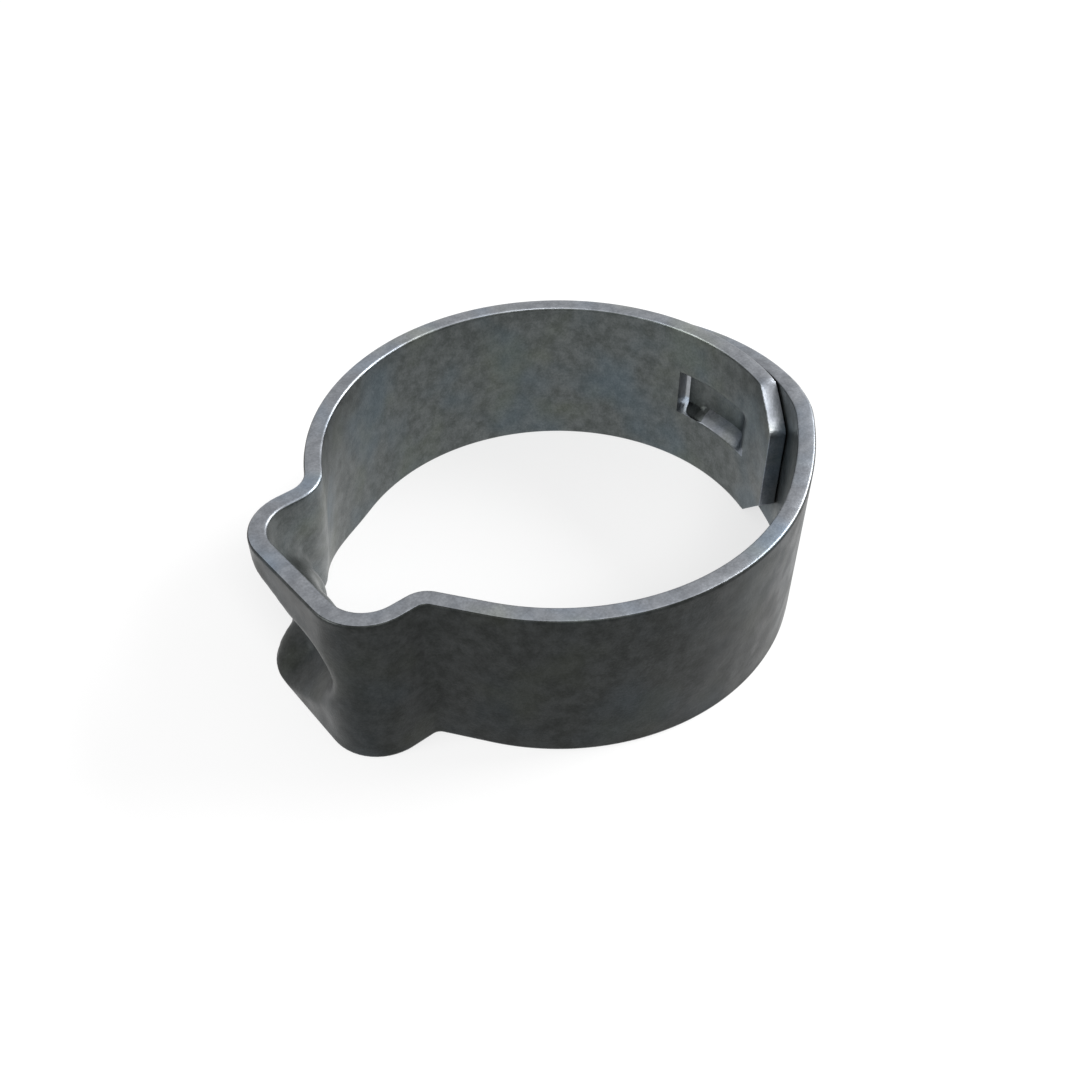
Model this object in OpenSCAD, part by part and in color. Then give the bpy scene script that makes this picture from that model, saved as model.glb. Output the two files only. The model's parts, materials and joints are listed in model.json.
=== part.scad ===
// Tubing pinch clamp: one steel strip, bent to a ring with one raised ear.
// The strip's inner end carries a lanced hook that catches in a window of the outer end.
// Origin: bore centre at mid-width. +Z is the bore axis, and the ear points to -X.

/* [Strip] */
// Width of the strip
strip_w = 7; // [6:0.5:10]
// Thickness of the strip
strip_t = 0.7; // [0.5:0.05:0.75]
// Rounding along the strip's slit edges
edge_r = 0.12; // [0.06:0.02:0.2]

/* [Ring] */
// Bore of the open clamp
bore_d = 18.1; // [17:0.1:22]
// Gap between the inner strip and the strip that lies over it
lap_gap = 0.06; // [0.04:0.01:0.15]
// Angle at which the inner strip starts to curl in under the outer one
curl_start = 20; // [16:1:30]
// How much tighter the curl is than the ring
curl = 0.5; // [0.3:0.1:0.9]
// Angle of the inner strip's end
inner_end = -30; // [-32:1:-28]
// Angle at which the outer strip starts to leave the inner one
lap_start = -28; // [-31:1:-26]
// Angle at which the outer strip has stepped down to the ring
step_end = -60; // [-70:1:-56]
// Angle of the outer strip's end
outer_end = 28; // [24:1:33]
// Width that the outer strip tapers to at its end
tail_w = 5.5; // [5:0.1:6.8]
// Chamfer at the corners of both ends
end_chamfer = 1.6; // [0.8:0.1:1.8]

/* [Ear] */
// Width of the ear over its two legs
ear_w = 7.9; // [7.5:0.1:9.5]
// Height of the ear above the ring
ear_h = 2.6; // [2.2:0.1:3.4]
// Inner radius of the ear's two corners
corner_r = 1.4; // [0.8:0.1:1.5]
// Outer radius of the crease at the plain heel
plain_heel_r = 0.4; // [0.3:0.1:0.8]
// Straight run of strip before the plain heel
plain_run = 1.9; // [0.5:0.1:2.4]
// Outer radius of the crease at the splayed heel
splayed_heel_r = 1.0; // [0.6:0.1:1.2]
// How far the splayed heel's lower edge stands out
splay = 1.6; // [0:0.1:2]

/* [Dimple] */
// Depth of the dimple pressed into the ear
dimple_d = 1.7; // [0.4:0.1:2]
// Length of the dimple along the strip
dimple_l = 6.8; // [5:0.2:8]
// Height of the dimple's deepest place above the strip's lower edge
dimple_foot = 1.25; // [1.2:0.05:3.5]
// Distance of the dimple's middle from the ear's middle
dimple_off = 2.4; // [0:0.1:3]

/* [Hook] */
// Angle of the hook's sheared face
hook_face = 12; // [10:1:14]
// Angle at which the hook starts to rise from the strip
hook_root = -16; // [-18:1:-13]
// How far the hook stands out of the inner strip
hook_h = 0.72; // [0.6:0.02:0.8]
// Width of the hook
hook_w = 2.2; // [1.6:0.1:2.8]
// Height of the hook above the strip's mid-width
hook_rise = 0.25; // [0:0.05:0.5]
// Clearance round the hook in its window
window_gap = 0.2; // [0.12:0.02:0.3]

/* [Hidden] */
$fa = 3;
$fs = 0.2;

mid_r = bore_d / 2 + strip_t / 2;              // middle of the strip round the ring
curl_r = mid_r - curl;                         // middle of the inner strip where it curls in
curl_c = curl * ray(curl_start);               // centre of the curl
lap_r = curl_r + strip_t + lap_gap;            // middle of the outer strip over the inner one
leg_y = ear_w / 2 - strip_t / 2;               // middle of the ear's legs
crown_x = -(mid_r + ear_h);                    // middle of the ear's crown
bend_r = corner_r + strip_t / 2;               // middle of the ear's corners
crown_l = 2 * (leg_y - bend_r);                // straight part of the crown
face_z = strip_w / 2 - edge_r;                 // where the strip's flat faces end

function ray(a) = [cos(a), sin(a)];
function smooth(x) = let (c = min(1, max(0, x))) c * c * (3 - 2 * c);
function spread(lo, hi, n) = [for (i = [0:n]) lo + (hi - lo) * i / n];
function reversed(v) = [for (i = [len(v) - 1:-1:0]) v[i]];
function total(v, n) = n <= 0 ? 0 : v[n - 1] + total(v, n - 1);

// The strip's section with its rounded slit edges, as points [across the thickness, height].
// levels holds the heights at which its two faces are divided.
edge_steps = 3;
function edge(x, z, a0) = [for (a = spread(a0, a0 + 90, edge_steps)) [x, z] + edge_r * ray(a)];
function section(levels = []) =
    let (x = strip_t / 2 - edge_r)
    concat(edge(x, -face_z, -90), [for (z = levels) [strip_t / 2, z]], edge(x, face_z, 0),
           edge(-x, face_z, 90), [for (z = reversed(levels)) [-strip_t / 2, z]],
           edge(-x, -face_z, 180));

// An arc of strip about the origin, from angle a0 to a1.
module bend(r, a0, a1)
    rotate_extrude(angle = a1 - a0, start = a0) translate([r, 0]) polygon(section());

// A stretch of formed strip as one mesh. Each station is [x, y, angle of the strip's outward
// normal], rows(i) gives its section, and push(i, z) moves a point of that section sideways.
module loft(stations, rows, push) {
    n = len(stations);
    k = len(rows(0));
    points = [for (i = [0:n - 1]) for (q = rows(i)) let (s = stations[i])
        concat([s[0], s[1]] + q[0] * ray(s[2]) + push(i, q[1]), q[1])];
    sides = [for (i = [0:n - 2]) for (j = [0:k - 1]) let (a = i * k + j, b = i * k + (j + 1) % k)
        each [[a, b, b + k], [a, b + k, a + k]]];
    last = (n - 1) * k;
    caps = [for (j = [0:k / 2 - 2]) let (m = k - 1 - j)
        each [[j, m, j + 1], [m, m - 1, j + 1], [last + j, last + j + 1, last + m],
              [last + m, last + j + 1, last + m - 1]]];
    polyhedron(points, concat(sides, caps));
}

// A loft's end reaches into the strip that goes on from there. It is thinner by the seat, so
// that it lies inside.
seat = 0.02;
reach = 1;                                     // angle by which the end reaches in
function seated(points, inside) = !inside ? points :
    [for (q = points) [q[0] * (1 - 2 * seat / strip_t), q[1] * (1 - 2 * seat / strip_w)]];

// Heel: the ring ends at heel_angle, runs straight, and turns out into a leg.
plain_r = plain_heel_r + strip_t / 2;
splayed_r = splayed_heel_r + strip_t / 2;
function heel_angle(r, run) =
    180 - asin((leg_y + r) / norm([mid_r + r, run])) - atan2(run, mid_r + r);
plain_a = heel_angle(plain_r, plain_run);
splayed_a = heel_angle(splayed_r, 0);
plain_c = (mid_r + plain_r) * ray(plain_a) + plain_run * ray(plain_a + 90);
splayed_c = (mid_r + splayed_r) * ray(splayed_a);
corner_c = [crown_x + bend_r, leg_y - bend_r];

// Ear: ring, splayed heel, leg, corner, crown, corner, leg, plain heel and the run into the ring.
form_start = 118;                              // ring angle at which the strip starts to splay
ring_steps = 7;
heel_steps = 6;
corner_steps = 8;
crown_steps = 12;
far_c = [plain_c[0], -plain_c[1]];
far_a = 360 - plain_a;
ring_angles = concat(form_start - reach, spread(form_start + reach, splayed_a, ring_steps));
heel_angles = spread(splayed_a, 90, heel_steps);
ear_stations = concat(
    [for (a = ring_angles) concat(mid_r * ray(a), a)],
    [for (i = [1:heel_steps]) concat(splayed_c - splayed_r * ray(heel_angles[i]), heel_angles[i])],
    [[(splayed_c[0] + corner_c[0]) / 2, leg_y, 90]],
    [for (a = spread(90, 180, corner_steps)) concat(corner_c + bend_r * ray(a), a)],
    [for (i = [1:crown_steps - 1]) [crown_x, crown_l * (0.5 - i / crown_steps), 180]],
    [for (a = spread(180, 270, corner_steps)) concat([corner_c[0], -corner_c[1]] + bend_r * ray(a), a)],
    [for (a = spread(270, far_a, heel_steps)) concat(far_c - plain_r * ray(a), a)],
    [for (a = [far_a, far_a + 2 * reach]) concat(mid_r * ray(a), a)]);
ear_last = len(ear_stations) - 1;
ear_gaps = [for (i = [1:ear_last]) norm([for (k = [0, 1]) ear_stations[i][k] - ear_stations[i - 1][k]])];
ear_at = [for (i = [0:ear_last]) total(ear_gaps, i)];
heel_at = ear_at[len(ring_angles) + heel_steps - 1];
corner_at = heel_at + splayed_c[0] - corner_c[0];
bend_mid_at = corner_at + bend_r * PI / 4;
dimple_at = corner_at + bend_r * PI / 2 + crown_l / 2 - dimple_off;
dimple_lean = 10;                              // slant of the dimple towards the ear's middle
dimple_sharp = 1.4;
dimple_power = 1.2;
splay_power = 1.5;
ear_levels = spread(-face_z * 0.94, face_z * 0.94, 26);

function dimple(s, z) =
    let (h = z + strip_w / 2 - dimple_foot, side = h > 0 ? strip_w - dimple_foot : dimple_foot,
         far = min(1, norm([2 * (s - dimple_at) / dimple_l, h / side])))
    dimple_d * pow(1 - pow(far, dimple_sharp), dimple_power);
function splayed(s, z) =
    let (along = s < heel_at ? s / heel_at : (bend_mid_at - s) / (bend_mid_at - heel_at))
    splay * smooth(along) * pow(0.5 - z / strip_w, splay_power);
function ear_rows(i) = seated(section(ear_levels), i == 0 || i == ear_last);
module ear()
    loft(ear_stations, function(i) ear_rows(i),
         function(i, z) dimple(ear_at[i], z) * ray(-dimple_lean) + splayed(ear_at[i], z) * ray(90));

// Hook: a pocket lanced out of the inner strip, closed at its root and sheared at its face.
// Its rim reaches into the strip round the slot, and is thinner there so that it lies inside.
hook_side = 0.35;                              // height of the pocket's side walls
hook_ramp = 7;                                 // angle over which the pocket's closed end rises
shear_gap = 0.03;                              // width of the shear cut
rim_reach = 0.15;
rim_inset = 0.05;
hook_steps = 16;
wall_rows = 4;
floor_rows = 4;
rim_lip = 0.03;
half_floor = hook_w / 2 - hook_side;
half_rim = hook_w / 2 - rim_lip;
hook_angles = concat(hook_root - rim_reach * 180 / PI / curl_r,
                     spread(hook_root + 0.5, hook_face - shear_gap * 180 / PI / curl_r, hook_steps));
hook_levels = concat(spread(-half_rim, -half_floor, wall_rows),
                     [for (i = [1:floor_rows - 1]) half_floor * (2 * i / floor_rows - 1)],
                     spread(half_floor, half_rim, wall_rows));
function pocket(a, z) =
    hook_h * smooth((a - hook_root) / hook_ramp) * smooth((half_rim - abs(z)) / hook_side);
function hook_rows(i) =
    let (full = i == 0 ? strip_t / 2 - rim_inset : strip_t / 2, thin = strip_t / 2 - rim_inset,
         up = concat([[thin, -hook_w / 2 - rim_reach]], [for (z = hook_levels) [full, z]],
                     [[thin, hook_w / 2 + rim_reach]]))
    concat(up, [for (q = reversed(up)) [-q[0], q[1]]]);
module hook()
    translate(concat(curl_c, hook_rise))
        loft([for (a = hook_angles) concat(curl_r * ray(a), a)], function(i) hook_rows(i),
             function(i, z) pocket(hook_angles[i], z) * ray(hook_angles[i]));

// Inner strip: from its chamfered end, round the slot that the hook is formed from, to the ear.
module chamfers(a, r)
    for (side = [-1, 1])
        rotate([0, 0, a]) translate([r, 0, side * (strip_w / 2 - end_chamfer)]) rotate([side * 45, 0, 0])
            translate([-strip_t, -strip_w, side > 0 ? 0 : -strip_w])
                cube([2 * strip_t, 2 * strip_w, strip_w]);
module inner_strip() {
    bend(mid_r, curl_start, form_start);
    translate(curl_c) difference() {
        bend(curl_r, inner_end, curl_start);
        chamfers(inner_end, curl_r);
        rotate_extrude(angle = hook_face - hook_root, start = hook_root)
            translate([curl_r - strip_t, hook_rise - hook_w / 2]) square([2 * strip_t, hook_w]);
    }
}

// Step from the ring up to the lap, as two arcs that meet at step_mid.
step_steps = 4;
step_mid = (step_end + lap_start) / 2;
step_low = ray(step_mid) - ray(step_end);
step_high = ray(lap_start) - ray(step_mid);
step_rise = curl_c + lap_r * ray(lap_start) - mid_r * ray(step_end);
low_r = cross(step_rise, step_high) / cross(step_low, step_high);
high_r = cross(step_low, step_rise) / cross(step_low, step_high);
low_c = (mid_r - low_r) * ray(step_end);
high_c = curl_c + (lap_r - high_r) * ray(lap_start);
step_stations = concat(
    [concat(mid_r * ray(step_end - reach), step_end - reach)],
    [for (a = spread(step_end + reach, step_mid, step_steps)) concat(low_c + low_r * ray(a), a)],
    [for (i = [1:step_steps]) let (a = step_mid + (lap_start - reach - step_mid) * i / step_steps)
        concat(high_c + high_r * ray(a), a)],
    [concat(curl_c + lap_r * ray(lap_start + reach), lap_start + reach)]);
module step()
    loft(step_stations, function(i) seated(section(), i == 0 || i == len(step_stations) - 1),
         function(i, z) [0, 0]);

// Outer end: the tapered tail, with the window that the hook catches in.
window_r = 0.3;                                // corner radius of the window
tail_mid = (lap_start + outer_end) / 2;
tail_half = lap_r * sin((outer_end - lap_start) / 2);
taper_start = strip_t - tail_half;
taper = (strip_w - tail_w) / 2 / (tail_half - taper_start);
module tail_outline() {
    shoulder = tail_half - end_chamfer;
    upper = [[-tail_half - strip_w, strip_w], [taper_start, strip_w / 2],
             [shoulder, tail_w / 2 + taper * end_chamfer], [tail_half, tail_w / 2 - end_chamfer]];
    polygon(concat(upper, [for (p = reversed(upper)) [p[0], -p[1]]]));
}
module window_outline() {
    lo = lap_r * sin(hook_root - tail_mid) - window_gap;
    hi = lap_r * sin(hook_face - tail_mid) + window_gap;
    half = hook_w / 2 + window_gap;
    translate([lo + window_r, -half]) square([hi - lo - 2 * window_r, 2 * half]);
    translate([lo, window_r - half]) square([hi - lo, 2 * half - 2 * window_r]);
    for (x = [lo + window_r, hi - window_r], y = [window_r - half, half - window_r])
        translate([x, y]) circle(window_r);
}
module tail()
    translate(curl_c) difference() {
        bend(lap_r, lap_start, outer_end);
        rotate([0, 0, tail_mid]) rotate([90, 0, 90]) difference() {
            linear_extrude(bore_d) square(4 * strip_w, center = true);
            linear_extrude(bore_d) tail_outline();
        }
        translate([0, 0, hook_rise]) rotate([0, 0, tail_mid]) rotate([90, 0, 90])
            linear_extrude(bore_d) window_outline();
    }
module outer_strip() {
    bend(mid_r, ceil(far_a + reach / 2) - 360, step_end);
    tail();
}

module clamp_band() color("#7d8184") {
    union() {
        inner_strip();
        outer_strip();
    }
    ear();
    hook();
    step();
}

clamp_band();
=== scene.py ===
"""A tubing pinch clamp: one strip of zinc-plated steel, bent, lanced and locked, on a pale floor."""

import json
from math import asin, atan2, ceil, cos, degrees, hypot, pi, radians, sin, tan

import bpy
from bpy.props import FloatProperty, FloatVectorProperty, PointerProperty
from mathutils import Matrix, Vector


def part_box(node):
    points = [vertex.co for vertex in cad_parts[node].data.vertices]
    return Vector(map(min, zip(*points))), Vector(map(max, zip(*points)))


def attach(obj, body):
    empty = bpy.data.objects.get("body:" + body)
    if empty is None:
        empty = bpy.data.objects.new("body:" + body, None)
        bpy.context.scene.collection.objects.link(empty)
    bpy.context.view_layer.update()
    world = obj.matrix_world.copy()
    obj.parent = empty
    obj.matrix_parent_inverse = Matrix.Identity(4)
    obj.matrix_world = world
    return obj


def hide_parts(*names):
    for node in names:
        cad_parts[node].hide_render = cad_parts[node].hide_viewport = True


bl_info = {
    "name": "Tubing Pinch Clamp",
    "version": (1, 0, 0),
    "blender": (4, 5, 0),
    "location": "View3D > Sidebar > Clamp",
    "description": "Rolls one steel strip to a pinch clamp with an ear, a hook and a window",
    "category": "Add Mesh",
}

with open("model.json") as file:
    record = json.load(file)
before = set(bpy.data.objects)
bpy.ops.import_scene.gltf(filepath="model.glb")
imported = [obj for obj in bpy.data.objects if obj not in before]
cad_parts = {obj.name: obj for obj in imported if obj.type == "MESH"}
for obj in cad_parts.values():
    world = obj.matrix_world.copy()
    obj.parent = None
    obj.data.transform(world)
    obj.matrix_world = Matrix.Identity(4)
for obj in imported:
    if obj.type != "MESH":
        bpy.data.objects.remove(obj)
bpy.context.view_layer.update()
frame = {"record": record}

MM = 0.001
WHITE = (1, 1, 1, 1)
BAND_NODE = "clamp_band"
BAND_LOW, BAND_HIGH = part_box(BAND_NODE)
BORE_R = next(m for m in frame["record"]["mounts"] if m["name"] == "tube_bore")["dims"]["r_mm"] * MM

# The mesh work
NEAR = 0.001 * MM  # between points that count as one
NEAR_TURN = 0.01  # radians past an end that still count as its end
SPARE = 0.01  # share of a step that a run may be over without one step more
WIDEST_TURN = 8  # degrees that one step may turn
CUT_REACH = 0.3  # radians from an end within which its corners are cut
MERGE_REACH = 0.2  # radians from an end within which the slivers of its cuts are merged
MERGE = 0.9  # share of a shear cut's width within which those slivers are merged
SHARP = radians(60)  # edges sharper than this are rounded
LEVEL = 0.3  # share of its length that an edge along the strip may rise
ENDS_FINER = 3  # how many times smaller the rounding of the two ends is
SHADE_SMOOTH = radians(40)  # edges sharper than this stay sharp to the eye

# How the ear's forms fade out
DIMPLE_WALL = 0.6  # share of the dimple's reach that its sloping wall takes
SWEEP = 3 * MM  # run along the crown over which the dimple's top comes up
SWEEP_AHEAD = 0.7  # share of that run on the plain side of the deepest place
DRAG_SHARE = 0.7  # share of the drag at the crown's middle
DRAG_SLANT = 0.3  # how much more that is at the plain leg, and less at the splayed one
SPLAY_POWER = 1.5  # how steeply the splay fades towards the upper edge

# The band's material slots: one zinc in three lightnesses, with painted shade on the outer face,
# painted light on the inner face and a painted highlight on the slit edges
OUTER, INNER, EDGE = range(3)

# The zinc plating's patterns: patch size, detail and roughness of each, the levels between
# which it is graded, and what it gives there. The specks and tints give a share of their
# colour, the grain a factor of brightness, and the sheen the metal's roughness.
PATTERNS = {
    "specks": (0.5 * MM, 4, 0.6, 0.3, 0.7, 0, 1),
    "blue": (3.4 * MM, 2, 0.5, 0.45, 0.72, 0, 0.4),
    "olive": (2.6 * MM, 2, 0.5, 0.5, 0.75, 0, 0.4),
    "grain": (0.1 * MM, 4, 0.65, 0.3, 0.7, 0.85, 1.1),
    "sheen": (0.9 * MM, 3, 0.5, 0.3, 0.7, 0.34, 0.44),
}
DENTS = 1.5 * MM  # size of the shallow dents that tumbling leaves
TINT_GREY = 0.39  # lightness of the grey that the two tints are given on

# The stage
FLOOR_SIZE = 3  # metres
CARD_GLOW = 0.7  # the card's own white, on top of what the lamps give it
# Name, place, size and watts of each lamp, which faces the clamp
LAMPS = (
    ("key", (0.22, -0.06, 0.12), 0.16, 1.0),
    ("side", (-0.2, 0.05, 0.07), 0.1, 0.25),
    ("front", (-0.055, -0.15, 0.19), 0.08, 0.25),
)


# Sizes and colours


def length(name, description, default):
    """A length in metres, shown in the scene's unit."""
    return FloatProperty(
        name=name, description=description, default=default, unit="LENGTH", precision=5
    )


def angle(name, description, default):
    """An angle, given in degrees and kept in radians."""
    return FloatProperty(
        name=name, description=description, default=radians(default), subtype="ANGLE"
    )


def colour(name, description, hex_code):
    """A colour, given as an sRGB hex code and kept as sRGB."""
    return FloatVectorProperty(
        name=name,
        description=description,
        default=[int(hex_code[i : i + 2], 16) / 255 for i in (0, 2, 4)],
        subtype="COLOR_GAMMA",
        min=0,
        max=1,
    )


class StripSizes(bpy.types.PropertyGroup):
    """The strip before it is bent."""

    width: length("Width", "Width of the strip", BAND_HIGH.z - BAND_LOW.z)
    thickness: length("Thickness", "Thickness of the strip", 0.7 * MM)
    edge: length("Edge rounding", "Rounding along the slit edges", 0.12 * MM)
    row: length("Row", "Largest spacing of the mesh across the strip", 0.17 * MM)
    step: length("Step", "Largest spacing of the mesh along the strip", 0.2 * MM)


class RingSizes(bpy.types.PropertyGroup):
    """The ring and its two lapped ends."""

    bore: length("Bore radius", "Inner radius of the ring", BORE_R)
    lap_gap: length("Lap gap", "Gap between the lapped ends", 0.06 * MM)
    curl_start: angle("Curl start", "Angle at which the inner strip starts to curl in", 20)
    curl: length("Curl", "How much tighter the curl is than the ring", 0.5 * MM)
    inner_end: angle("Inner end", "Angle of the inner strip's end", -30)
    lap_start: angle("Lap start", "Angle at which the outer strip lies over the inner one", -28)
    step_end: angle("Step end", "Angle at which the outer strip has stepped down to the ring", -60)
    outer_end: angle("Outer end", "Angle of the outer strip's end", 28)
    tail: length("Tail width", "Width that the outer strip tapers to", 5.5 * MM)
    chamfer: length("End chamfer", "Chamfer at the corners of both ends", 1.6 * MM)


class EarSizes(bpy.types.PropertyGroup):
    """The raised ear with its two heels and the dimple pressed into it."""

    width: length("Width", "Width over the two legs", 7.9 * MM)
    height: length("Height", "Height of the crown above the ring", 2.6 * MM)
    corner: length("Corner radius", "Inner radius of the two corners", 1.4 * MM)
    plain_heel: length("Plain heel radius", "Outer radius of the plain heel's crease", 0.4 * MM)
    plain_run: length("Plain run", "Straight run before the plain heel", 1.9 * MM)
    splayed_heel: length("Splayed heel radius", "Outer radius of the splayed heel's crease", 1 * MM)
    splay: length("Splay", "How far the splayed heel's lower edge stands out", 1.6 * MM)
    splay_start: angle("Splay start", "Ring angle at which the strip starts to splay", 118)
    dimple_depth: length("Dimple depth", "Depth of the pressed dimple", 1.5 * MM)
    dimple_offset: length("Dimple offset", "Distance of the dimple from the crown's middle", 1.8 * MM)
    dimple_near: length("Dimple near end", "Reach of the dimple towards the plain heel", 4.4 * MM)
    dimple_far: length("Dimple far end", "Reach of the dimple towards the splayed heel", 4.2 * MM)
    dimple_foot: length("Dimple foot", "Height of the deepest place above the lower edge", 2.1 * MM)
    dimple_top: length("Dimple top", "Reach of the dimple above its deepest place", 2.8 * MM)
    dimple_rise: length("Dimple rise", "How much higher it reaches at the splayed side", 1.2 * MM)
    dimple_tilt: angle("Dimple tilt", "Rise of the dimple towards the plain heel", 19)
    dimple_lean: angle("Dimple lean", "Slant of the dimple towards the ear's middle", 10)
    drag: length("Drag", "How far the dimple drags the crown's upper edge in", 0.24 * MM)


class LockSizes(bpy.types.PropertyGroup):
    """The lanced hook and the window that it catches in."""

    face: angle("Hook face", "Angle of the hook's sheared face", 12)
    root: angle("Hook root", "Angle at which the hook starts to rise", -16)
    ramp: angle("Hook ramp", "Angle over which the hook's closed end rises", 7)
    tear: angle("Tear", "Angle from which the hook's lower side is torn loose", 4)
    height: length("Hook height", "How far the hook stands out", 0.72 * MM)
    width: length("Hook width", "Width of the hook", 2.2 * MM)
    rise: length("Hook rise", "Height of the hook above the strip's mid-width", 0.25 * MM)
    side: length("Hook side", "Height of the hook's side walls", 0.35 * MM)
    shear: length("Shear gap", "Width of the shear cuts", 0.05 * MM)
    window_gap: length("Window gap", "Clearance round the hook in its window", 0.2 * MM)


class FinishColours(bpy.types.PropertyGroup):
    """The zinc plating, in three lightnesses: the outer face darkened as painted shade, the inner face
    lightened as painted light, and the slit edges lighter still as a painted highlight.
    """

    # Painted shade: the outer face and its specks are darker than the inner face's zinc
    outer: colour("Outer face", "Dull zinc on the strip's outer face", "363838")
    outer_dark: colour("Outer specks", "Darker specks on the outer face", "282a29")
    # Painted light: the inner face and its specks are lighter than the outer face's zinc
    inner: colour("Inner face", "Dull zinc on the strip's inner face", "676b6b")
    inner_dark: colour("Inner specks", "Darker specks on the inner face", "535756")
    # Painted highlight: the slit edges and their specks are the lightest zinc, for the light that
    # their upper edges catch
    edge: colour("Slit edge", "Zinc on the slit edges, lightened as painted highlight", "8b8e93")
    edge_dark: colour("Edge specks", "Darker specks on the slit edges", "777a7f")
    blue: colour("Blue tint", "Faint blue passivate tint", "56636e")
    olive: colour("Olive tint", "Faint olive passivate tint", "65665a")


class StageSettings(bpy.types.PropertyGroup):
    """The floor, the camera and the room's even light."""

    floor: colour("Floor", "Pale floor", "8c8c8c")
    camera: FloatVectorProperty(
        name="Camera",
        description="Where the camera stands",
        default=(-22.52 * MM, -26.66 * MM, 31.25 * MM),
        subtype="XYZ",
        unit="LENGTH",
    )
    tilt: angle("Tilt", "Camera's angle from straight down", 46.29)
    turn: angle("Turn", "Camera's turn about the bore axis", -38.99)
    roll: angle("Roll", "Camera's turn about its own axis", -0.82)
    lens: FloatProperty(name="Lens", description="Focal length in mm on a 36 mm sensor", default=38.24)
    fill: FloatProperty(name="Fill", description="Strength of the room's even light", default=0.55)


# Mesh work, as by hand


def start_piece(name, place):
    """A new object in edit mode that holds one selected point."""
    bpy.ops.object.select_all(action="DESELECT")
    bpy.ops.mesh.primitive_plane_add(size=MM, location=place)
    piece = bpy.context.object
    piece.name = name
    piece.data.name = name
    bpy.ops.object.mode_set(mode="EDIT")
    bpy.ops.mesh.merge(type="CENTER")
    bpy.ops.mesh.select_mode(type="VERT")
    bpy.ops.mesh.select_all(action="SELECT")
    return piece


def pull(shift, spacing):
    """Carries the selection straight on by shift, in even steps."""
    steps = max(1, ceil(shift.length / spacing - SPARE))
    for _ in range(steps):
        bpy.ops.mesh.extrude_region_move(TRANSFORM_OT_translate={"value": shift / steps})


def roll(centre, radius, turn, spacing):
    """Carries the selection round centre by turn, anticlockwise if it is positive."""
    fine, gentle = radius * abs(turn) / spacing - SPARE, abs(degrees(turn)) / WIDEST_TURN
    steps = max(2, ceil(fine), ceil(gentle))
    bpy.ops.mesh.spin(steps=steps, angle=-turn, center=(centre.x, centre.y, 0), axis=(0, 0, 1))


def roll_between(centre, radius, marks, spacing):
    """Carries the selection round centre from each marked angle to the next."""
    for a, b in zip(marks, marks[1:]):
        roll(centre, radius, b - a, spacing)


def edit(piece):
    """Edit mode with nothing selected."""
    bpy.context.view_layer.objects.active = piece
    if piece.mode != "EDIT":
        bpy.ops.object.mode_set(mode="EDIT")
    bpy.ops.mesh.select_all(action="DESELECT")


def pick_faces(piece, wanted):
    """Selects the faces whose middle is wanted."""
    edit(piece)
    bpy.ops.object.mode_set(mode="OBJECT")
    for face in piece.data.polygons:
        face.select = wanted(face.center)
    bpy.ops.object.mode_set(mode="EDIT")
    bpy.ops.mesh.select_mode(type="FACE")


def cut_off(piece, wanted, place, normal):
    """Cuts the wanted faces by a plane, and clears what lies on its normal's side."""
    pick_faces(piece, wanted)
    normal = normal.normalized()
    bpy.ops.mesh.bisect(plane_co=place, plane_no=normal, clear_outer=True, threshold=NEAR)


def weigh(piece, name, share):
    """Keeps each point's share of a push as a vertex group."""
    group = piece.vertex_groups.new(name=name)
    for point in piece.data.vertices:
        weight = share(point.co)
        if weight > 0:
            group.add([point.index], weight, "REPLACE")


def press(piece, name, push):
    """Moves each point of that vertex group by its share of push."""
    for axis, strength in zip("XYZ", push):
        if strength:
            move = piece.modifiers.new(name, "DISPLACE")
            move.direction = axis
            move.mid_level = 0
            move.strength = strength
            move.vertex_group = name
            bpy.ops.object.modifier_apply(modifier=move.name)


def smooth(x):
    """From 0 to 1 with no slope at either end."""
    x = min(1, max(0, x))
    return x * x * (3 - 2 * x)


def ray(a, radius=1.0):
    """The point at angle a and that radius, at mid-width."""
    return Vector((radius * cos(a), radius * sin(a), 0))


# The band


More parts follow.
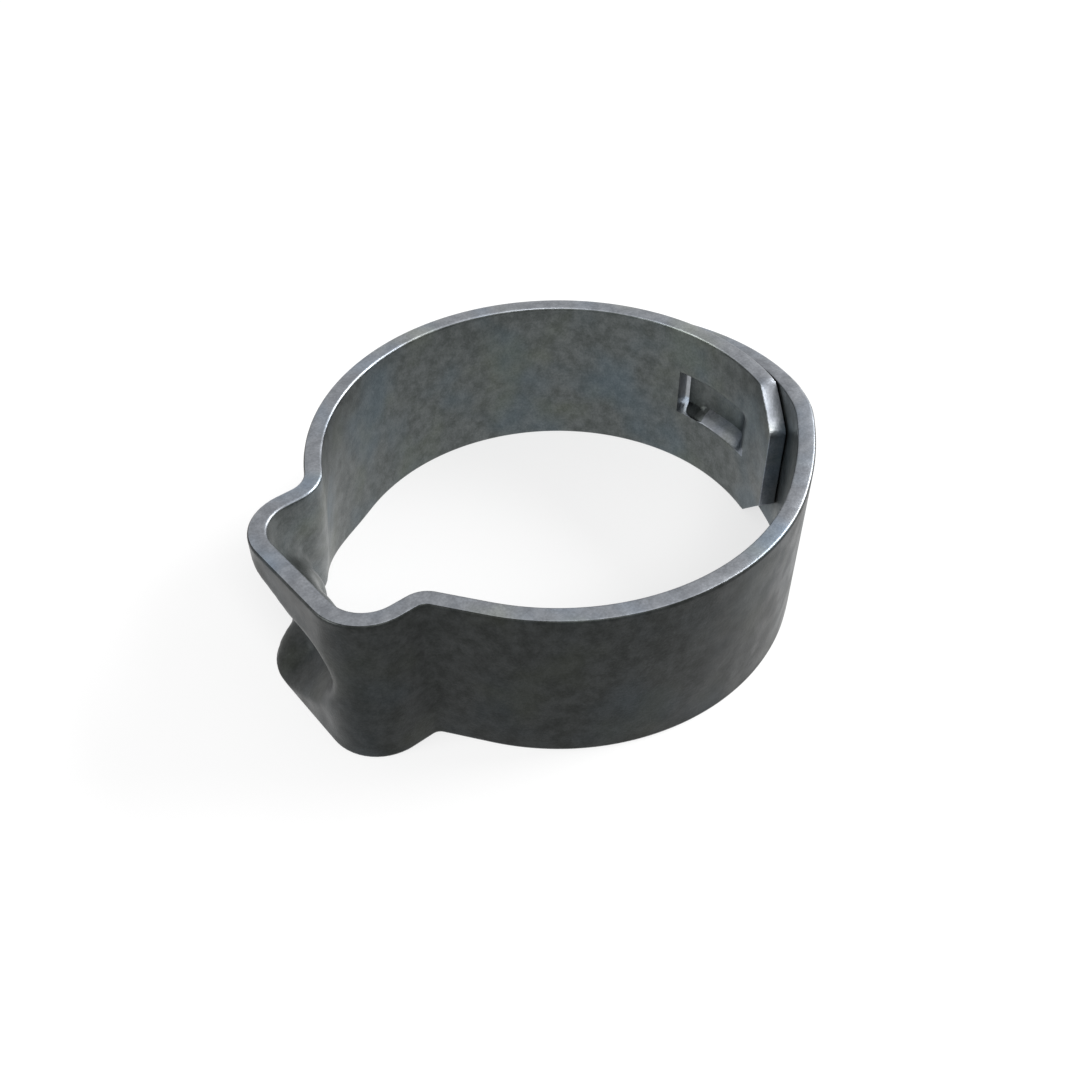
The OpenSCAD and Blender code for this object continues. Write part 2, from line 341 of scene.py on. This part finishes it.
class BandPath:
    """Middle of the strip's thickness, from the inner end round to the outer end."""

    def __init__(self, strip, ring, ear, lock):
        half = strip.thickness / 2
        self.ring_r = ring.bore + half
        self.curl = ray(ring.curl_start, ring.curl)
        self.curl_r = self.ring_r - ring.curl
        self.lap_r = self.curl_r + strip.thickness + ring.lap_gap
        self.gap_r = (self.curl_r + self.lap_r) / 2
        self.lap_start, self.lap_end = ring.lap_start, ring.outer_end

        # Angles of the window's two ends, and of a shear cut's width
        gap = lock.window_gap / self.lap_r
        self.window = lock.root - gap, lock.face + gap
        self.slit = lock.shear / self.curl_r

        self.leg_y = ear.width / 2 - half
        self.crown_x = -(self.ring_r + ear.height)
        self.corner_r = ear.corner + half
        self.corner = Vector((self.crown_x + self.corner_r, self.leg_y - self.corner_r, 0))
        self.plain_r = ear.plain_heel + half
        self.splayed_r = ear.splayed_heel + half
        self.plain_a = self.heel_angle(self.plain_r, ear.plain_run)
        self.splayed_a = self.heel_angle(self.splayed_r, 0)
        self.plain = ray(self.plain_a, self.ring_r + self.plain_r)
        self.plain += ray(self.plain_a + pi / 2, ear.plain_run)
        self.plain.y *= -1
        self.splayed = ray(self.splayed_a, self.ring_r + self.splayed_r)
        self.plain_run = ear.plain_run

        # The step up to the lap is two arcs, whose chords add up to its whole shift
        self.step_mid = (ring.step_end + ring.lap_start) / 2
        low = ray(self.step_mid) - ray(ring.step_end)
        high = ray(ring.lap_start) - ray(self.step_mid)
        shift = self.curl + ray(ring.lap_start, self.lap_r) - ray(ring.step_end, self.ring_r)
        area = low.cross(high).z
        self.low_r = shift.cross(high).z / area
        self.high_r = low.cross(shift).z / area
        self.low = ray(ring.step_end, self.ring_r - self.low_r)
        self.high = self.curl + ray(ring.lap_start, self.lap_r - self.high_r)

    def turn(self, p):
        """Angle of a point about the curl's centre."""
        return atan2(p.y - self.curl.y, p.x - self.curl.x)

    def out(self, p):
        """Distance of a point from the curl's axis."""
        return hypot(p.x - self.curl.x, p.y - self.curl.y)

    def on_lap(self, p):
        """Whether a point lies on the outer strip of the lap."""
        along = self.lap_start < self.turn(p) <= self.lap_end + NEAR_TURN
        return along and self.out(p) > self.gap_r

    def heel_angle(self, radius, run):
        """Ring angle at which the strip leaves the ring for a heel."""
        reach = self.ring_r + radius
        return pi - asin((self.leg_y + radius) / hypot(reach, run)) - atan2(run, reach)

    def along_ear(self, p):
        """Distance along the strip from the crown's middle, positive on the plain side."""
        side = -1 if p.y > 0 else 1
        out = abs(p.y)
        if p.x < self.corner.x and out < self.corner.y:
            return side * out
        if p.x < self.corner.x:
            bend = atan2(out - self.corner.y, self.corner.x - p.x)
            return side * (self.corner.y + self.corner_r * bend)
        return side * (self.corner.y + self.corner_r * pi / 2 + p.x - self.corner.x)

    def splay_share(self, p, start):
        """How much of the splay a point's place along the strip takes: all of it at the heel."""
        turn = atan2(p.y, p.x)
        if p.y < 0 or turn < start:
            return 0
        heel = self.splayed_r * (self.splayed_a - pi / 2)
        before = self.ring_r * (self.splayed_a - start) + heel
        # The splay fades out just past the start of the ear's corner
        after = self.splayed.x - self.corner.x + self.corner_r / 3
        if turn <= self.splayed_a:
            return smooth(self.ring_r * (turn - start) / before)
        if p.x > self.splayed.x:
            bend = atan2(self.splayed.y - p.y, self.splayed.x - p.x)
            return smooth(1 - self.splayed_r * (bend - pi / 2) / before)
        return smooth(1 - (self.splayed.x - p.x) / after)


def levels(strip, lock):
    """Heights of the mesh's rows, with one at each edge of the hook and of its window."""
    half = lock.width / 2
    window = half + lock.window_gap
    edges = (-window, -half, lock.shear - half, half - lock.shear, half, window)
    marks = [-strip.width / 2] + [lock.rise + z for z in edges] + [strip.width / 2]
    rows = []
    for low, high in zip(marks, marks[1:]):
        count = max(1, ceil((high - low) / strip.row - SPARE))
        rows += [low + (high - low) * i / count for i in range(count)]
    return rows + [strip.width / 2]


def roll_strip(strip, ring, lock, path):
    """The strip's middle surface, pulled from its inner end to its outer end."""
    heights = levels(strip, lock)
    start = path.curl + ray(ring.inner_end, path.curl_r)
    piece = start_piece("steel_band", (start.x, start.y, heights[0]))
    for low, high in zip(heights, heights[1:]):
        bpy.ops.mesh.extrude_region_move(TRANSFORM_OT_translate={"value": (0, 0, high - low)})
    bpy.ops.mesh.select_mode(type="EDGE")
    bpy.ops.mesh.select_all(action="SELECT")

    axis = Vector((0, 0, 0))
    hook_marks = (lock.root, lock.tear, lock.face, lock.face + path.slit)
    inner_marks = (ring.inner_end, *hook_marks, ring.curl_start)
    roll_between(path.curl, path.curl_r, inner_marks, strip.step)
    roll(axis, path.ring_r, path.splayed_a - ring.curl_start, strip.step)
    roll(path.splayed, path.splayed_r, pi / 2 - path.splayed_a, strip.step)
    pull(Vector((path.corner.x - path.splayed.x, 0, 0)), strip.step)
    roll(path.corner, path.corner_r, pi / 2, strip.step)
    pull(Vector((0, -2 * path.corner.y, 0)), strip.step)
    far_corner = Vector((path.corner.x, -path.corner.y, 0))
    roll(far_corner, path.corner_r, pi / 2, strip.step)
    pull(Vector((path.plain.x - path.corner.x, 0, 0)), strip.step)
    roll(path.plain, path.plain_r, pi / 2 - path.plain_a, strip.step)
    pull(ray(pi / 2 - path.plain_a, path.plain_run), strip.step)
    roll(axis, path.ring_r, ring.step_end + path.plain_a, strip.step)
    roll(path.low, path.low_r, path.step_mid - ring.step_end, strip.step)
    roll(path.high, path.high_r, ring.lap_start - path.step_mid, strip.step)
    lap_marks = (ring.lap_start, *path.window, ring.outer_end)
    roll_between(path.curl, path.lap_r, lap_marks, strip.step)
    bpy.ops.object.mode_set(mode="OBJECT")
    bpy.ops.object.transform_apply(location=True, rotation=True, scale=True)
    return piece


def trim_ends(piece, strip, ring, lock, path):
    """Cuts the chamfers at the corners of both ends."""
    wall = path.curl_r + strip.thickness / 2

    def by_inner_end(p, reach):
        return path.out(p) < wall and 0 < path.turn(p) - ring.inner_end < reach

    def by_outer_end(p, reach):
        return path.on_lap(p) and path.turn(p) > ring.outer_end - reach

    for side in (-1, 1):
        up = Vector((0, 0, side))
        corner = path.curl + ray(ring.inner_end, path.curl_r) + up * (strip.width / 2)
        back = ray(ring.inner_end + pi / 2)
        place = corner + back * ring.chamfer
        cut_off(piece, lambda p: by_inner_end(p, CUT_REACH), place, up - back)
        corner = path.curl + ray(ring.outer_end, path.lap_r) + up * (ring.tail / 2)
        ahead = ray(ring.outer_end + pi / 2)
        place = corner - ahead * ring.chamfer
        cut_off(piece, lambda p: by_outer_end(p, CUT_REACH), place, up + ahead)

    pick_faces(piece, lambda p: by_inner_end(p, MERGE_REACH) or by_outer_end(p, MERGE_REACH))
    bpy.ops.mesh.remove_doubles(threshold=MERGE * lock.shear)


def taper_tail(piece, strip, ring, lock, path):
    """Narrows the outer strip towards its end.

    The taper starts one thickness past the lap's start, and stays clear of the window.
    """
    middle = (ring.outer_end + ring.lap_start) / 2
    chord = path.lap_r * sin((ring.outer_end - ring.lap_start) / 2)
    start = strip.thickness - chord
    plain = lock.rise + lock.width / 2 + 2 * lock.window_gap

    def share(p):
        if not path.on_lap(p):
            return 0
        ahead = (path.lap_r * sin(path.turn(p) - middle) - start) / (chord - start)
        across = (abs(p.z) - plain) / (strip.width / 2 - plain)
        return max(0, across) * max(0, ahead)

    push = Vector((0, 0, (strip.width - ring.tail) / 2))
    weigh(piece, "upper_taper", lambda p: share(p) if p.z > 0 else 0)
    weigh(piece, "lower_taper", lambda p: share(p) if p.z < 0 else 0)
    press(piece, "upper_taper", -push)
    press(piece, "lower_taper", push)


def open_window(piece, lock, path):
    """Punches the window in the outer strip, and shears the hook's face and lower side."""
    half = lock.width / 2
    low, high = path.window

    def in_window(p):
        across = abs(p.z - lock.rise) < half + lock.window_gap
        return path.on_lap(p) and low < path.turn(p) < high and across

    def in_slit(p):
        a = path.turn(p)
        above = p.z - lock.rise + half
        in_face = lock.face < a < lock.face + path.slit and 0 < above < lock.width
        in_side = lock.tear < a < lock.face and 0 < above < lock.shear
        return path.out(p) < path.gap_r and (in_face or in_side)

    for wanted in (in_window, in_slit):
        pick_faces(piece, wanted)
        bpy.ops.mesh.delete(type="FACE")
    bpy.ops.object.mode_set(mode="OBJECT")


def weigh_hook(piece, lock, path):
    """Keeps how much of the hook's height each point takes, with steeper sides where it is torn."""

    def share(p):
        a = path.turn(p)
        if path.out(p) >= path.gap_r or not lock.root < a < lock.face + path.slit / 2:
            return 0
        rim = lock.width / 2 - abs(p.z - lock.rise)
        torn = (a - lock.tear) / (lock.face - lock.tear) if p.z < lock.rise else 0
        side = lock.side * (1 - min(1, max(0, torn))) + lock.shear
        return smooth((a - lock.root) / lock.ramp) * smooth(rim / side)

    weigh(piece, "hook", share)


def round_edges(piece, lock, path, size, along):
    """Rounds the edges along the strip or those across it, but not the window's and the hook's."""
    edit(piece)
    bpy.ops.mesh.select_mode(type="EDGE")
    bpy.ops.mesh.edges_select_sharp(sharpness=SHARP)
    bpy.ops.object.mode_set(mode="OBJECT")
    points = piece.data.vertices
    low, high = path.window
    half = lock.width / 2 + lock.window_gap + NEAR
    for edge in piece.data.edges:
        a, b = [points[i].co for i in edge.vertices]
        middle = (a + b) / 2
        inside = low - NEAR_TURN < path.turn(middle) < high + NEAR_TURN
        punched = inside and abs(middle.z - lock.rise) < half
        level = abs(a.z - b.z) < LEVEL * (a - b).length
        if punched or level != along:
            edge.select = False
    bpy.ops.object.mode_set(mode="EDIT")
    bpy.ops.mesh.bevel(offset=size, segments=3, affect="EDGES", clamp_overlap=False)
    bpy.ops.object.mode_set(mode="OBJECT")


def give_thickness(piece, strip, lock, path):
    """Gives the strip its thickness, and rounds its slit edges and, much less, its two ends."""
    first = piece.data.polygons[0]
    if first.normal.dot(first.center) < 0:
        piece.data.flip_normals()
    wall = piece.modifiers.new("Thickness", "SOLIDIFY")
    wall.thickness = strip.thickness
    wall.offset = 0
    wall.use_even_offset = True
    wall.material_offset = INNER
    wall.material_offset_rim = EDGE
    bpy.ops.object.modifier_apply(modifier=wall.name)
    round_edges(piece, lock, path, strip.edge, along=True)
    round_edges(piece, lock, path, strip.edge / ENDS_FINER, along=False)


def paint_light_on_hook_side(piece, lock, path):
    """Paints light on the hook's lower side wall, as far as it is drawn and not torn, by giving it the
    slit edges' lighter zinc: a painted highlight where that wall faces up.
    """

    def in_lower_side(p):
        above = p.z - lock.rise + lock.width / 2
        drawn = lock.root < path.turn(p) < lock.tear
        return path.out(p) < path.curl_r and 0 < above < lock.side and drawn

    pick_faces(piece, in_lower_side)
    piece.active_material_index = EDGE
    bpy.ops.object.material_slot_assign()
    bpy.ops.object.mode_set(mode="OBJECT")


def form(piece, strip, ear, lock, path):
    """Presses the dimple, which drags the crown in, splays the heel's edge and raises the hook."""

    def dimple(p):
        if p.x > path.plain.x:
            return 0
        along = path.along_ear(p) + ear.dimple_offset
        up = p.z + strip.width / 2 - ear.dimple_foot - max(0, along) * tan(ear.dimple_tilt)
        top = ear.dimple_top + ear.dimple_rise * smooth(SWEEP_AHEAD - along / SWEEP)
        across = up / (top if up > 0 else ear.dimple_foot)
        ahead = along / (ear.dimple_near if along > 0 else ear.dimple_far)
        return smooth((1 - hypot(ahead, across)) / DIMPLE_WALL)

    def drag(p):
        if p.x > path.splayed.x or abs(p.y) > ear.width:
            return 0
        reach = (path.splayed.x - p.x) / (path.splayed.x - path.corner.x)
        near = DRAG_SHARE - DRAG_SLANT * p.y / path.leg_y
        return near * smooth(reach) * smooth(0.5 + p.z / strip.width)

    def splay(p):
        return path.splay_share(p, ear.splay_start) * (0.5 - p.z / strip.width) ** SPLAY_POWER

    weigh(piece, "dimple", dimple)
    weigh(piece, "drag", drag)
    weigh(piece, "splay", splay)
    press(piece, "dimple", ear.dimple_depth * ray(-ear.dimple_lean))
    press(piece, "drag", Vector((ear.drag, 0, 0)))
    press(piece, "splay", Vector((0, ear.splay, 0)))
    press(piece, "hook", Vector((lock.height, 0, 0)))


# Zinc plating


def linear(value):
    """One sRGB value from 0 to 1, as linear light."""
    return value / 12.92 if value <= 0.04045 else ((value + 0.055) / 1.055) ** 2.4


def rgba(srgb):
    """An sRGB colour as the linear RGBA that a shader takes."""
    return [linear(v) for v in srgb] + [1]


def add_node(tree, kind, inputs=None, **settings):
    """Adds a node of that kind with its settings, and links or sets each of its own inputs."""
    node = tree.nodes.new("ShaderNode" + kind)
    for key, value in settings.items():
        setattr(node, key, value)
    for key, value in (inputs or {}).items():
        if isinstance(value, bpy.types.NodeSocket):
            tree.links.new(value, node.inputs[key])
        else:
            node.inputs[key].default_value = value
    return node


def blank_material(name):
    """A material with an empty node tree, and that tree."""
    material = bpy.data.materials.new(name)
    material.use_nodes = True
    material.node_tree.nodes.clear()
    return material, material.node_tree


def zinc_plated_steel(name, body, specks, colours):
    """Zinc-plated steel strip, slit, stamped and tumbled.

    The plating is dull and grey, with a fine grain and specks under a millimetre across. Its
    passivate leaves faint blue and olive patches a few millimetres across.
    """
    material, tree = blank_material(name)
    place = add_node(tree, "TexCoord").outputs["Object"]
    noise, level = {}, {}
    for pattern, (size, detail, roughness, low, high, least, most) in PATTERNS.items():
        spread = {"Scale": 1 / size, "Detail": detail, "Roughness": roughness}
        noise[pattern] = add_node(tree, "TexNoise", {"Vector": place, **spread}).outputs["Fac"]
        span = {"From Min": low, "From Max": high, "To Min": least, "To Max": most}
        level[pattern] = add_node(
            tree, "MapRange", {"Value": noise[pattern], **span}, interpolation_type="SMOOTHSTEP"
        ).outputs["Result"]

    blue, olive = [
        [v * t / TINT_GREY for v, t in zip(body, tint)] for tint in (colours.blue, colours.olive)
    ]
    # A colour mix has its two colours at inputs 6 and 7
    tone = rgba(specks)
    for pattern, colour in (("specks", body), ("blue", blue), ("olive", olive)):
        layers = {"Factor": level[pattern], 6: tone, 7: rgba(colour)}
        tone = add_node(tree, "Mix", layers, data_type="RGBA").outputs[2]
    layers = {"Factor": 1, 6: tone, 7: level["grain"]}
    tone = add_node(tree, "Mix", layers, data_type="RGBA", blend_type="MULTIPLY").outputs[2]

    fine = {"Height": noise["grain"], "Strength": 0.35, "Distance": 0.02 * MM}
    normal = add_node(tree, "Bump", fine).outputs["Normal"]
    spread = {"Scale": 1 / DENTS, "Detail": 2, "Roughness": 0.5}
    dents = add_node(tree, "TexNoise", {"Vector": place, **spread}).outputs["Fac"]
    coarse = {"Height": dents, "Strength": 0.4, "Distance": 0.05 * MM, "Normal": normal}
    normal = add_node(tree, "Bump", coarse).outputs["Normal"]
    zinc = {"Base Color": tone, "Metallic": 1, "Roughness": level["sheen"], "Normal": normal}
    steel = add_node(tree, "BsdfPrincipled", zinc).outputs["BSDF"]
    add_node(tree, "OutputMaterial", {"Surface": steel})
    return material


def seen_or_mirrored(tree):
    """1 for a ray from the eye or through a mirror or glass, and 0 for one that only lights."""
    rays = add_node(tree, "LightPath").outputs
    seen = rays["Is Camera Ray"]
    for kind in ("Is Glossy Ray", "Is Transmission Ray"):
        seen = add_node(tree, "Math", {0: seen, 1: rays[kind]}, operation="MAXIMUM").outputs[0]
    return seen


def white_card(colour):
    """Smooth white card. It is white to the eye and in the metal, and keeps the shadow."""
    material, tree = blank_material("white_card")
    card = add_node(tree, "BsdfDiffuse", {"Color": rgba(colour)}).outputs[0]
    factors = {0: seen_or_mirrored(tree), 1: CARD_GLOW}
    glow = add_node(tree, "Math", factors, operation="MULTIPLY").outputs[0]
    light = add_node(tree, "Emission", {"Strength": glow, "Color": WHITE}).outputs[0]
    both = add_node(tree, "AddShader", {0: card, 1: light}).outputs[0]
    add_node(tree, "OutputMaterial", {"Surface": both})
    return material


# Operators


class CLAMP_OT_band(bpy.types.Operator):
    """Roll, cut, thicken and form the steel band, and plate it"""

    bl_idname = "clamp.band"
    bl_label = "Steel Band"
    bl_options = {"REGISTER", "UNDO"}

    def execute(self, context):
        scene = context.scene
        strip, ring, ear = scene.clamp_strip, scene.clamp_ring, scene.clamp_ear
        lock, finish = scene.clamp_lock, scene.clamp_finish
        path = BandPath(strip, ring, ear, lock)
        band = roll_strip(strip, ring, lock, path)
        # One zinc at three lightnesses: painted shade on the outer face, painted light on the inner
        # face and a painted highlight on the slit edges
        plating = {
            OUTER: ("zinc_plated_outer_face", finish.outer, finish.outer_dark),
            INNER: ("zinc_plated_inner_face", finish.inner, finish.inner_dark),
            EDGE: ("zinc_plated_slit_edge", finish.edge, finish.edge_dark),
        }
        for slot in sorted(plating):
            band.data.materials.append(zinc_plated_steel(*plating[slot], finish))
        taper_tail(band, strip, ring, lock, path)
        trim_ends(band, strip, ring, lock, path)
        open_window(band, lock, path)
        weigh_hook(band, lock, path)
        give_thickness(band, strip, lock, path)
        # Painted highlight on the hook's lower side wall
        paint_light_on_hook_side(band, lock, path)
        form(band, strip, ear, lock, path)
        bpy.ops.object.shade_smooth_by_angle(angle=SHADE_SMOOTH)
        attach(band, "root")
        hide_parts(BAND_NODE)
        return {"FINISHED"}


class CLAMP_OT_stage(bpy.types.Operator):
    """Lay the floor, hang the lamps, light the room and set up the camera"""

    bl_idname = "clamp.stage"
    bl_label = "Stage"
    bl_options = {"REGISTER", "UNDO"}

    def execute(self, context):
        scene = context.scene
        settings = scene.clamp_stage
        bpy.ops.object.select_all(action="DESELECT")
        bpy.ops.mesh.primitive_plane_add(size=FLOOR_SIZE, location=(0, 0, BAND_LOW.z))
        floor = context.object
        floor.name = "floor"
        floor.data.materials.append(white_card(settings.floor))

        for name, place, size, watts in LAMPS:
            bpy.ops.object.light_add(type="AREA", location=place)
            lamp = context.object
            lamp.name = name
            lamp.data.size = size
            lamp.data.energy = watts
            lamp.rotation_euler = Vector(place).to_track_quat("Z", "Y").to_euler()

        world = bpy.data.worlds.new("even_room")
        world.use_nodes = True
        tree = world.node_tree
        tree.nodes.clear()
        fill = {"Value": seen_or_mirrored(tree), "To Min": settings.fill, "To Max": 1}
        strength = add_node(tree, "MapRange", fill).outputs["Result"]
        room = add_node(tree, "Background", {"Strength": strength, "Color": WHITE}).outputs[0]
        add_node(tree, "OutputWorld", {"Surface": room})
        scene.world = world
        scene.view_settings.view_transform = "Standard"

        bpy.ops.object.camera_add(location=settings.camera)
        camera = context.object
        turn = Matrix.Rotation(settings.turn, 3, "Z") @ Matrix.Rotation(settings.tilt, 3, "X")
        camera.rotation_euler = (turn @ Matrix.Rotation(settings.roll, 3, "Z")).to_euler()
        camera.data.lens = settings.lens
        camera.data.clip_start = MM
        scene.camera = camera
        return {"FINISHED"}


class CLAMP_PT_panel(bpy.types.Panel):
    """Sizes, colours and buttons of the clamp"""

    bl_idname = "CLAMP_PT_panel"
    bl_label = "Tubing Pinch Clamp"
    bl_space_type = "VIEW_3D"
    bl_region_type = "UI"
    bl_category = "Clamp"

    def draw(self, context):
        for title, name, _ in GROUPS:
            box = self.layout.box()
            box.label(text=title)
            group = getattr(context.scene, name)
            for key in group.__annotations__:
                box.prop(group, key)
        for operator in OPERATORS:
            self.layout.operator(operator.bl_idname)


GROUPS = (
    ("Strip", "clamp_strip", StripSizes),
    ("Ring", "clamp_ring", RingSizes),
    ("Ear", "clamp_ear", EarSizes),
    ("Lock", "clamp_lock", LockSizes),
    ("Finish", "clamp_finish", FinishColours),
    ("Stage", "clamp_stage", StageSettings),
)
OPERATORS = (CLAMP_OT_band, CLAMP_OT_stage)
CLASSES = (*(kind for _, _, kind in GROUPS), *OPERATORS, CLAMP_PT_panel)


def register():
    """Registers the classes and gives the scene its settings."""
    for cls in CLASSES:
        bpy.utils.register_class(cls)
    for _, name, kind in GROUPS:
        setattr(bpy.types.Scene, name, PointerProperty(type=kind))


def unregister():
    """Takes the settings and the classes away again."""
    for _, name, _ in GROUPS:
        delattr(bpy.types.Scene, name)
    for cls in reversed(CLASSES):
        bpy.utils.unregister_class(cls)


def main():
    """Registers the add-on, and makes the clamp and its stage."""
    register()
    bpy.ops.clamp.band()
    bpy.ops.clamp.stage()


if __name__ == "__main__":
    main()
